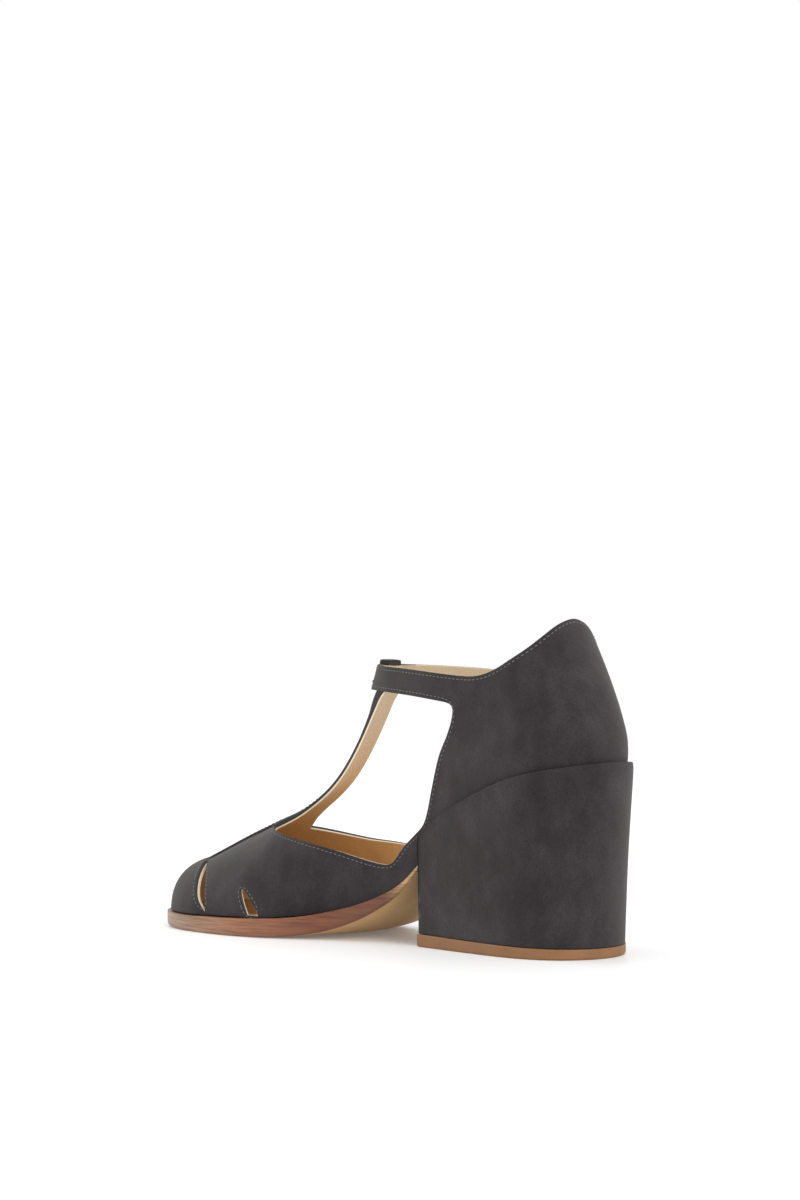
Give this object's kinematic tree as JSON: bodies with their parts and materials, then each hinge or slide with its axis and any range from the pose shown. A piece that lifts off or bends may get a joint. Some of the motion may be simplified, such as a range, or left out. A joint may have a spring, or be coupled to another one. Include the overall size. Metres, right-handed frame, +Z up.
{
  "type": "t strap shoe",
  "caption": "T strap shoe with a closed toe, cut-out sides, a high peaked back, an ankle strap with a small buckle and a tall suede covered block heel.",
  "frame": {"origin": "middle of the top lift's underside, on the floor", "axes": "+Z up, toe toward -Y, the foot's medial side toward +X"},
  "size_m": [0.0825, 0.2383, 0.1344],
  "materials": {
    "charcoal_suede": "napped suede",
    "sole_leather": "smooth, satin",
    "tan_leather": "smooth, satin",
    "tan_lift": "matt",
    "pale_brass": "polished"
  },
  "bodies": {
    "root": {"upper": "charcoal_suede", "outsole": "sole_leather", "insole": "tan_leather", "heel": "charcoal_suede", "top_lift": "tan_lift", "strap_end": "charcoal_suede", "buckle_frame": "pale_brass"}
  },
  "joints": []
}
